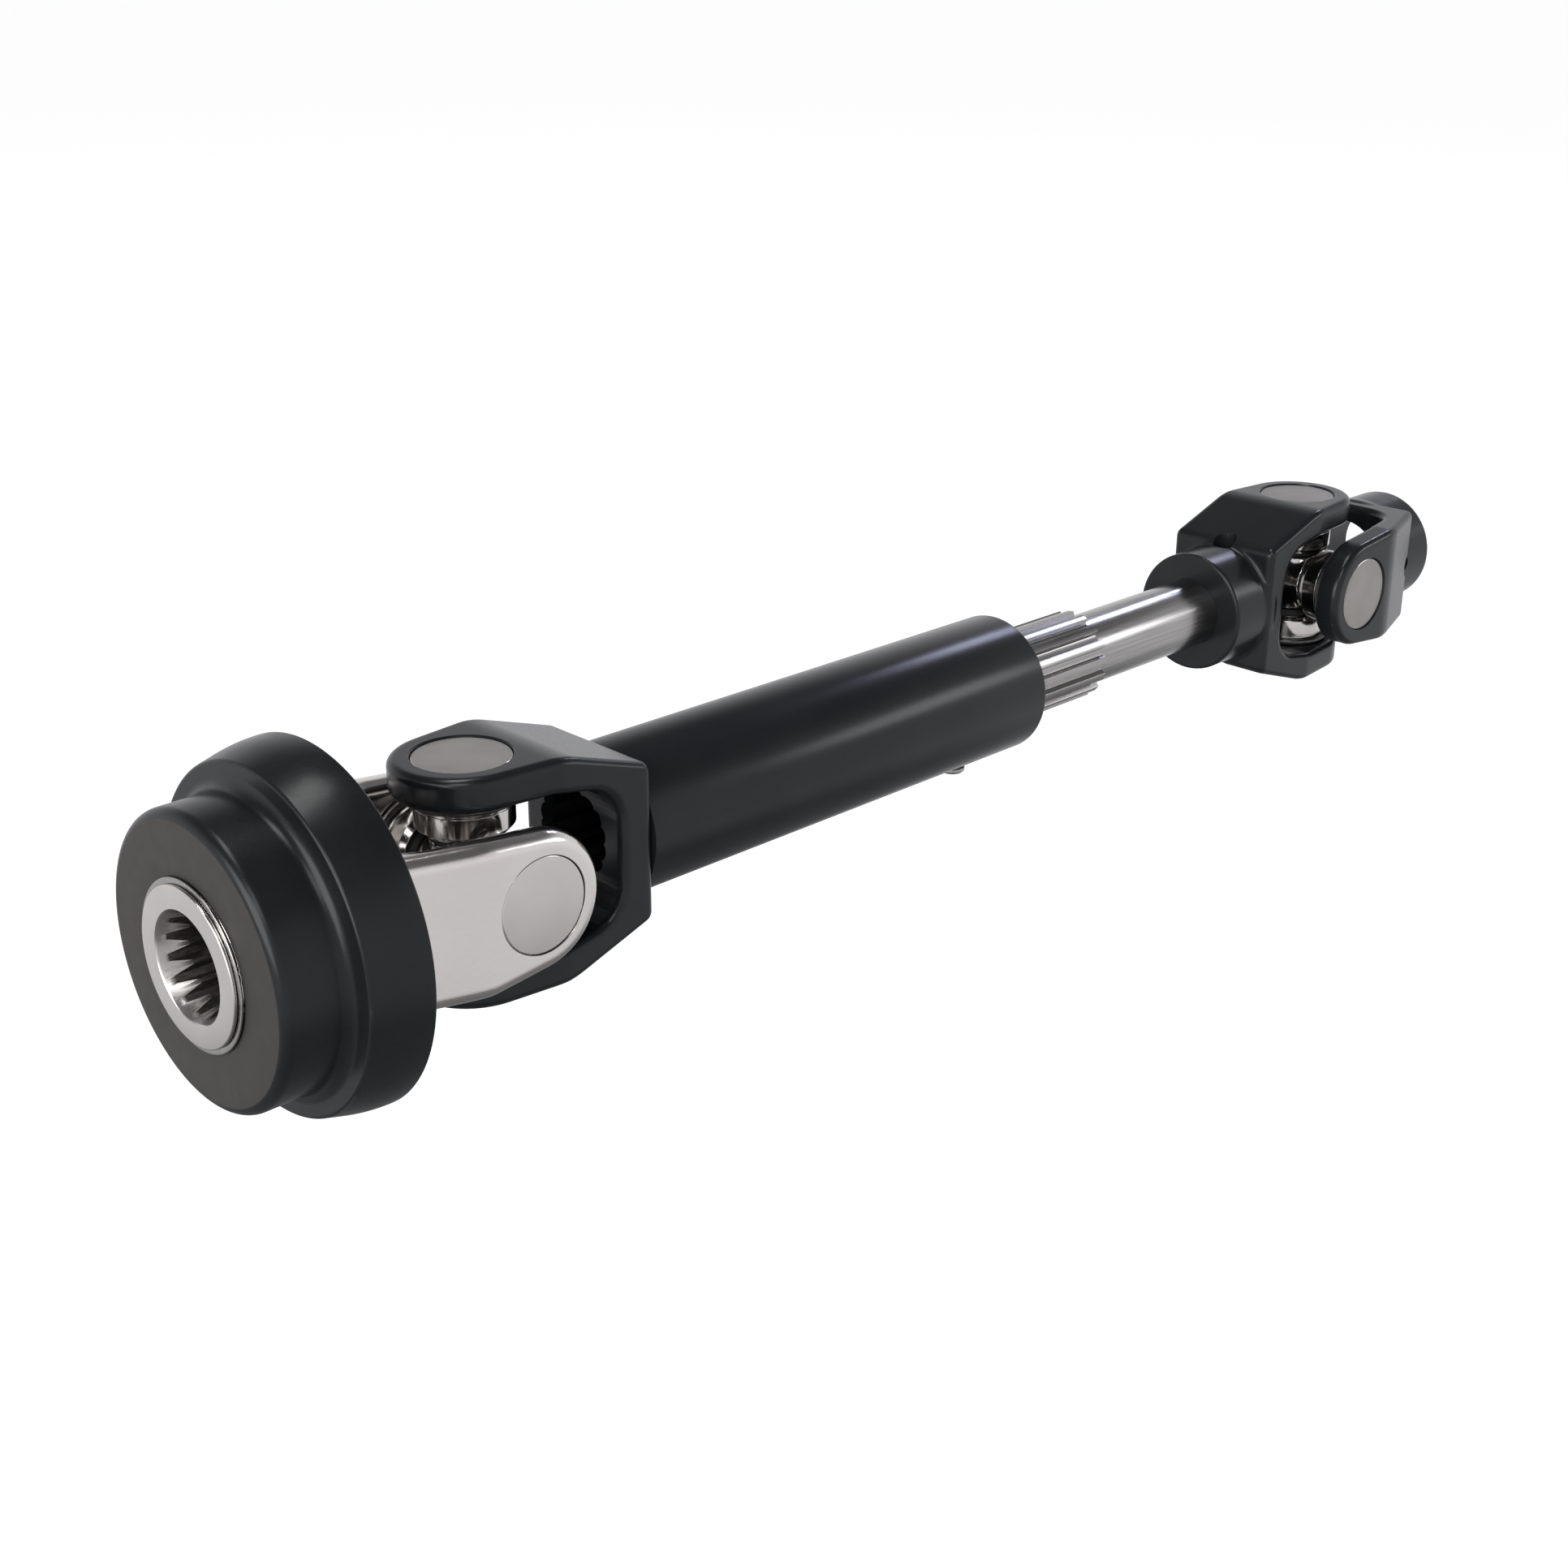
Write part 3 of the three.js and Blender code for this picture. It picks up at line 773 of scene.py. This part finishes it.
def cone_cutter():
    """Lead-in of the splined bore, with a small break at the rim."""
    low = BORE_MINOR - 0.5
    deep = INPUT_HUB_END - (BORE_RIM - low) * CONE_SLOPE
    return lathe_x("cone", [
        (0, deep),
        (low, deep),
        (BORE_RIM - 0.12, INPUT_HUB_END - 0.36),
        (BORE_RIM + 0.35, INPUT_HUB_END + 0.1),
        (BORE_RIM + 0.35, INPUT_HUB_END + 2),
        (0, INPUT_HUB_END + 2),
    ], 128)


def ball_hole(ball):
    """Stepped hole that holds a ball from falling into the bore."""
    seat, wide = BALL_RADIUS - 0.3, BALL_RADIUS + 0.2
    hole = lathe(f"ball_hole_{ball}", [
        (0, 8), (seat, 8), (seat, 13), (wide, 13.4), (wide, 24), (0, 24),
    ], 48)
    hole.data.transform(Matrix.Translation((BALL_PLACE, 0, 0)) @ ball_direction(ball))
    return hole


def in_bore(polygon):
    return math.hypot(polygon.center.y, polygon.center.z) < BORE_RIM - 0.05


def input_fork():
    fork = fork_forging("input_fork", INPUT_EAR_TOP, INPUT_HUB_END - 1.9, edge=INPUT_EDGE)
    cut_ears(fork, INPUT_EAR_TOP, 0.12)
    combine(fork, "UNION", hub_lip())
    holes = [ball_hole(ball) for ball in range(BALL_COUNT)]
    combine(fork, "DIFFERENCE", bore_cutter(), cone_cutter(), *holes)
    finishes = [
        (TURNED, lambda p: p.center.x > INPUT_HUB_END - 0.2),
        (CONE, lambda p: in_bore(p) and 0.1 < p.normal.x < 0.9),
        (BROACHED_SHADED, lambda p: in_bore(p) and abs(p.normal.x) <= 0.1 and p.center.x > WALL - 5),
    ]
    return piece(
        fork, AT_INPUT, "input", POLISHED, ["input_yoke"], faces=finishes)


# ---- release collar and what it hides ------------------------------------------------------------


def release_collar():
    ring = lathe_x("collar_ring", rounded([
        (38.5, 42.4, 0.6),
        (45.3, 42.4, 0.5),
        (45.3, 48.0, 40.0),
        (42.7, 58.2, 1.0),
        (36.1, 58.2, 3.2),
        (36.1, COLLAR_FRONT, 2.8),
        (COLLAR_BORE, COLLAR_FRONT, 0.5),
        (COLLAR_BORE, 73.5),
        (22.5, 72.0),
        (COLLAR_BORE, 61.5),
        (COLLAR_BORE, 59.0),
        (24.9, 59.0),
        (24.9, 54.2, 0.5),
        (38.5, 51.2, 2.0),
    ], 9), 256)
    # The front face takes the lighter copy of the finish: painted light on the face toward the lamps
    front = COLLAR_FRONT - 1.3
    face = (GRIP_LIT_FACE, lambda p: p.normal.x > 0.995 and p.center.x > front)
    return piece(
        ring, AT_INPUT, "collar", GRIP, ["release_collar"], angle=28, faces=[face])


def snap_ring():
    profile = rounded([
        (18.75, 75.6, 0.25), (20.8, 75.6, 0.25), (20.8, 76.2, 0.25), (18.75, 76.2, 0.25),
    ], 4)
    ring = lathe_x("retaining_ring", profile, 160)
    return piece(ring, AT_INPUT, "input", GROUND, ["collar_snap_ring"])


def wire_ring(shape, lift, out, radius, gauge, around):
    """One section of the spring's wire, as vertices."""
    ring = []
    for j in range(around):
        turn = 2 * math.pi * j / around
        point = Vector((lift, 0, 0)) + out * (radius + gauge * math.cos(turn))
        ring.append(shape.verts.new(point + Vector((gauge * math.sin(turn), 0, 0))))
    return ring


def coil():
    """Collar spring, its turns closing up towards the ends."""
    turns, radius, gauge = 3.5, 22.4, 1.1
    first, last = BASE + GAP + gauge, 59 - GAP - gauge
    count, around = 220, 14
    shape = bmesh.new()
    rings = []
    for i in range(count + 1):
        share = i / count
        angle = 2 * math.pi * turns * share
        lift = first + (last - first) * (share * share * (3 - 2 * share) * 0.35 + share * 0.65)
        out = Vector((0, math.cos(angle), math.sin(angle)))
        rings.append(wire_ring(shape, lift, out, radius, gauge, around))
    for a, b in zip(rings, rings[1:]):
        for j in range(around):
            k = (j + 1) % around
            shape.faces.new((a[j], a[k], b[k], b[j]))
    shape.faces.new(rings[0])
    shape.faces.new(rings[-1])
    item = from_bmesh("coil_spring", shape)
    piece(item, AT_INPUT, "input", SPRING, ["collar_spring"])
    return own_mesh(item)


def locking_balls():
    half_circle = [
        (BALL_RADIUS * math.sin(math.pi * i / 24), -BALL_RADIUS * math.cos(math.pi * i / 24))
        for i in range(1, 24)
    ]
    profile = [(0, -BALL_RADIUS), *half_circle, (0, BALL_RADIUS)]
    lift = Matrix.Translation((0, 0, COLLAR_BORE - GAP - BALL_RADIUS))
    for ball in range(BALL_COUNT):
        item = lathe(f"lock_ball_{ball + 1}", profile, 48)
        item.data.transform(Matrix.Translation((BALL_PLACE, 0, 0)) @ ball_direction(ball) @ lift)
        body, node = f"ball_{ball + 1}", f"locking_ball_{ball + 1}"
        piece(item, AT_INPUT, body, BEARING, [node])


# ---- crosses and bearings ------------------------------------------------------------------------


def cross(name, place, body, node, step=0.4):
    """Forged cross: four ground trunnions on a body with soft fillets."""
    reach = 27.55
    x = axis_values(-11.5, 11.5, step)
    y = axis_values(-reach - 1.5, reach + 1.5, step)
    z = axis_values(-reach - 1.5, reach + 1.5, step)
    gx, gy, gz = x[:, None, None], y[None, :, None], z[None, None, :]
    arms = []
    for across, along in ((gy, gz), (gz, gy)):
        radial = np.hypot(gx, across)
        shoulder = both(0.5, *np.broadcast_arrays(radial - 9.2, np.abs(along) - 9.2))
        trunnion = both(0.7, *np.broadcast_arrays(radial - 7.6, np.abs(along) - reach))
        arms.append(either(0.6, shoulder, trunnion))
    body_field = either(2.2, arms[0], arms[1])
    item = field_object(name, body_field, (x[0], y[0], z[0]), step)
    return piece(item, place, body, BEARING, [node])


def cup_shape(name):
    profile = rounded([
        (11.1, CUP_MOUTH, 0.25),
        (CUP_RADIUS, CUP_MOUTH + 1.5, 0.3),
        (CUP_RADIUS, 17.9, 0.12),
        (12.15, 18.05),
        (12.15, 18.35),
        (CUP_RADIUS, 18.5, 0.12),
        (CUP_RADIUS, 19.1, 0.1),
        (11.5, 19.1),
        (11.5, 21.0),
        (CUP_RADIUS, 21.0, 0.1),
        (CUP_RADIUS, CUP_TOP, 0.45),
        (0, CUP_TOP),
        (0, 27.85),
        (10.5, 27.85, 0.5),
        (10.5, CUP_MOUTH, 0.2),
    ], 5)
    return lathe(name, profile, 128)


def clip_shape(name):
    """Open retaining clip with rounded lugs beside its gap."""
    inner, outer, half, lug = 11.75, 14.3, 0.6, 1.0
    first, last, count = math.radians(16), math.radians(344), 96
    outline = [
        *arc(outer, first, last, count),
        polar(outer + lug, last + 0.03),
        polar(inner + 0.2, last + 0.06),
        *arc(inner, last, first, count),
        polar(inner + 0.2, first - 0.06),
        polar(outer + lug, first - 0.03),
    ]
    return prism(name, outline, CLIP_HEIGHT - half, CLIP_HEIGHT + half)


def seal_shape(name):
    profile = rounded([
        (9.3, 9.55, 0.2), (10.15, 10.5, 0.3), (10.15, 12.9, 0.2), (8.0, 12.9, 0.2), (8.0, 9.55, 0.2),
    ], 4)
    return lathe(name, profile, 96)


def roller_shape(name):
    """The needles of one cup, side by side."""
    count, gauge, ring, low, high = 22, 1.2, 9.05, 13.4, 26.2
    shape = bmesh.new()
    chamfer = 0.3
    profile = [
        (0, low), (gauge - chamfer, low), (gauge, low + chamfer),
        (gauge, high - chamfer), (gauge - chamfer, high), (0, high),
    ]
    for needle in range(count):
        turn = 2 * math.pi * needle / count
        middle = Vector((ring * math.cos(turn), ring * math.sin(turn), 0))
        rings = []
        for i in range(12):
            angle = 2 * math.pi * i / 12
            spin = Vector((math.cos(angle), math.sin(angle), 0))
            rings.append([shape.verts.new(middle + spin * r + Vector((0, 0, h))) for r, h in profile])
        for i in range(12):
            a, b = rings[i], rings[(i + 1) % 12]
            for j in range(len(profile) - 1):
                shape.faces.new((a[j], b[j], b[j + 1], a[j + 1]))
    return from_bmesh(name, shape)


def bearing(joint, quarter_name, quarter, place, body):
    """Cup, clip, seal and needles of one trunnion; quarter counts quarter turns about x."""
    turn = place @ Matrix.Rotation(quarter * math.pi / 2, 4, "X")
    prefix = f"{joint}_{quarter_name}"
    cap = (FLUSH_CAP if body == "input" else CAP, lambda p: p.center.z > CUP_TOP - 0.02)
    cup = cup_shape(f"{prefix}_bearing_cup")
    piece(cup, turn, body, BEARING, [f"{prefix}_cup"], angle=25, faces=[cap])
    clip = bevelled(clip_shape(f"{prefix}_retainer"), 0.25)
    piece(clip, turn, body, SPRING, [f"{prefix}_clip"])
    seal = seal_shape(f"{prefix}_lip_seal")
    piece(seal, turn, body, SEAL, [f"{prefix}_seal"])
    rollers = roller_shape(f"{prefix}_rollers")
    piece(rollers, turn, body, BEARING, [f"{prefix}_needles"])


# ---- sleeve, shaft, nipple and pin ---------------------------------------------------------------


def sleeve():
    tube = lathe_x("sleeve_tube", rounded([
        (0, BASE + 0.05),
        (SLEEVE_RADIUS, BASE + 0.05, 0.25),
        (SLEEVE_RADIUS, SLEEVE_END, 1.0),
        (0, SLEEVE_END),
    ], 5), 192)
    bore = prism("bore", slip_bore_outline(), BASE - 2, SLEEVE_END + 2, ALONG_X)
    lead = lathe_x("lead", [
        (0, SLEEVE_END - 1.6), (13.2, SLEEVE_END - 1.6),
        (15.2, SLEEVE_END + 0.4), (0, SLEEVE_END + 0.4),
    ], 96)
    combine(tube, "DIFFERENCE", bore, lead)
    return piece(tube, AT_SLEEVE, "sleeve", PAINT, ["spline_sleeve"], angle=30)


def nipple():
    profile = rounded([
        (0, -24.1),
        (3.4, -24.1, 0.4),
        (3.95, -23.5, 0.4),
        (3.95, -22.6, 0.3),
        (3.2, -22.1, 0.3),
        (3.6, -21.2, 0.3),
        (3.95, -20.9, 0.1),
        (3.95, -20.5),
        (3.0, -20.4),
        (3.0, -15.0),
        (0, -15.0),
    ], 5)
    item = lathe("nipple", profile, 64)
    item.data.transform(Matrix.Translation((NIPPLE_PLACE, 0, 0)))
    return piece(item, AT_SLEEVE, "sleeve", GROUND, ["grease_nipple"], angle=40)


def sliding_shaft():
    teeth = toothed(SLIP_TEETH, SLIP_MINOR, SLIP_MAJOR, 0.6, 0.44, 0.15, 0.2, SLIP_TURN)
    splines = prism("splined_slip_shaft", teeth, SLIP_START, SLIP_END, ALONG_X)
    envelope = lathe_x("envelope", [
        (0, SLIP_START - 1), (SLIP_MINOR - 0.8, SLIP_START - 1), (SLIP_MAJOR + 0.3, SLIP_START + 1.5),
        (SLIP_MAJOR + 0.3, SLIP_END - 0.3), (SLIP_MAJOR - 0.3, SLIP_END + 0.3), (0, SLIP_END + 0.3),
    ], 128)
    combine(splines, "INTERSECT", envelope)
    end = SPACING - WALL - 1
    plain = lathe_x("plain", rounded([
        (0, SLIP_START + 2), (SHAFT_RADIUS, SLIP_START + 2), (SHAFT_RADIUS, end, 0.6), (0, end),
    ], 4), 160)
    combine(splines, "UNION", plain)
    hole = through_pin_hole("shaft_hole", PIN_RADIUS + 0.25, 20, SPACING - PIN_PLACE)
    combine(splines, "DIFFERENCE", hole)
    return piece(splines, AT_SLEEVE, "shaft", GROUND, ["splined_shaft"], angle=25)


def roll_pin():
    """Slotted spring pin."""
    inner, outer, half_slot = 2.2, 3.55, 0.22
    first, last, count = half_slot, 2 * math.pi - half_slot, 40
    outline = [*arc(outer, first, last, count), *arc(inner, last, first, count)]
    item = bevelled(prism("roll_pin", outline, -17, 17), 0.25)
    item.data.transform(Matrix.Translation((SPACING - PIN_PLACE, 0, 0)))
    return piece(item, AT_SLEEVE, "shaft", SPRING, ["shaft_pin"])


# ---- assembly ------------------------------------------------------------------------------------

QUARTERS = ("top", "right", "bottom", "left")

sleeve_fork()
hub_fork("shaft_fork", AT_SHAFT, "shaft", "shaft_yoke", SHAFT_RADIUS + 0.04, 0.0)
hub_fork("output_fork", AT_OUTPUT, "output", "output_yoke", END_BORE, 0.8)
input_fork()
release_collar()
snap_ring()
coil()
locking_balls()
cross("front_spider", AT_SLEEVE, "front_cross", "front_cross")
cross("rear_spider", AT_REAR, "rear_cross", "rear_cross")
for number, quarter in enumerate(QUARTERS):
    bearing("front", quarter, number, AT_SLEEVE, "sleeve" if number % 2 == 0 else "input")
    bearing("rear", quarter, number, AT_REAR, "shaft" if number % 2 == 0 else "output")
sleeve()
nipple()
sliding_shaft()
roll_pin()

# ---- stage, light and camera ---------------------------------------------------------------------

# Metres; the floor lies lower than the part's rest so that the input end can swing down to its limit
FLOOR_SIZE = 14.0
FLOOR_DROP = 0.04
# Share of the way up from straight down to straight up, and the grey there
WORLD_GREYS = (
    (0.0, 0.18), (0.17, 0.25), (0.27, 0.82), (0.49, 0.96),
    (0.65, 0.85), (0.74, 0.6), (0.82, 0.15), (1.0, 0.12),
)


def floor():
    """White floor; it lights the object from below but isn't seen in its reflections."""
    mesh = bpy.data.meshes.new("studio_floor")
    corners = [(x * FLOOR_SIZE, y * FLOOR_SIZE, 0) for x, y in ((-1, -1), (1, -1), (1, 1), (-1, 1))]
    mesh.from_pydata(corners, [], [(0, 1, 2, 3)])
    item = new_object("studio_floor", mesh)
    material, shader = finish("floor_paper", specular=0.1)
    shade = noise(material, 0.002, 2)
    colour = clouded(material, shade, (0.29, 0.29, 0.29), (0.31, 0.31, 0.31))
    shader.inputs["Emission Color"].default_value = (1, 1, 1, 1)
    shader.inputs["Emission Strength"].default_value = 0.86
    wire(material, shader, colour, spread(material, shade, 0.85, 0.95))
    mesh.materials.append(material)
    item.location.z = -FLOOR_DROP
    item.visible_glossy = False


def softbox(name, place, target, width, height, power, colour=(1, 1, 1)):
    data = bpy.data.lights.new(name, "AREA")
    data.shape = "RECTANGLE"
    data.size = width
    data.size_y = height
    data.energy = power
    data.color = colour
    item = new_object(name, data)
    item.location = place
    direction = Vector(target) - Vector(place)
    item.rotation_euler = direction.to_track_quat("-Z", "Y").to_euler()
    item.visible_camera = False


def world_light():
    """Surroundings for the steel to reflect: bright at the sides, dark above and below."""
    world = bpy.data.worlds.new("studio")
    bpy.context.scene.world = world
    world.use_nodes = True
    tree = world.node_tree
    place = tree.nodes.new("ShaderNodeTexCoord")
    split = tree.nodes.new("ShaderNodeSeparateXYZ")
    ramp = tree.nodes.new("ShaderNodeValToRGB")
    elements = ramp.color_ramp.elements
    while len(elements) < len(WORLD_GREYS):
        elements.new(0.5)
    for element, (height_share, grey) in zip(elements, WORLD_GREYS):
        element.position = height_share
        element.color = (grey, grey, 1.03 * grey, 1)
    tree.links.new(place.outputs["Generated"], split.inputs[0])
    height = tree.nodes.new("ShaderNodeMath")
    height.operation = "MULTIPLY_ADD"
    height.inputs[1].default_value = 0.5
    height.inputs[2].default_value = 0.5
    tree.links.new(split.outputs["Z"], height.inputs[0])
    tree.links.new(height.outputs[0], ramp.inputs["Fac"])
    tree.links.new(ramp.outputs["Color"], tree.nodes["Background"].inputs["Color"])
    tree.nodes["Background"].inputs["Strength"].default_value = 1.0


def softboxes():
    middle = (0, 0, AXIS_HEIGHT)
    softbox("key", (-1.1, -1.0, 1.5), middle, 0.8, 0.8, 9)
    softbox("overhead", (-0.15, 0.25, 1.7), middle, 0.9, 0.4, 9)
    softbox("low_front", (-0.95, -0.12, 0.30), (-0.25, 0, AXIS_HEIGHT), 0.7, 0.6, 7)
    softbox("right_streak", (1.5, -1.23, 0.72), middle, 0.7, 0.36, 3.8, (0.97, 0.98, 1.02))
    softbox("far_streak", (1.75, 0.5, 1.33), middle, 0.3, 0.3, 3, (0.82, 0.88, 1.2))


def camera():
    data = bpy.data.cameras.new("camera")
    data.sensor_width = 36.0
    data.lens = 49.974
    item = new_object("camera", data)
    right = Vector((0.71166701, -0.70250562, 0.00398977))
    up = Vector((0.261529, 0.270202, 0.926603))
    ahead = Vector((0.65202184, 0.65838933, -0.37601996))
    turn = Matrix((right, up, -ahead)).transposed().to_4x4()
    item.matrix_world = Matrix.Translation(FRONT + Vector((-0.28663, -0.39919, 0.21955))) @ turn
    bpy.context.scene.camera = item


floor()
world_light()
softboxes()
camera()
bpy.context.scene.view_settings.view_transform = "Standard"
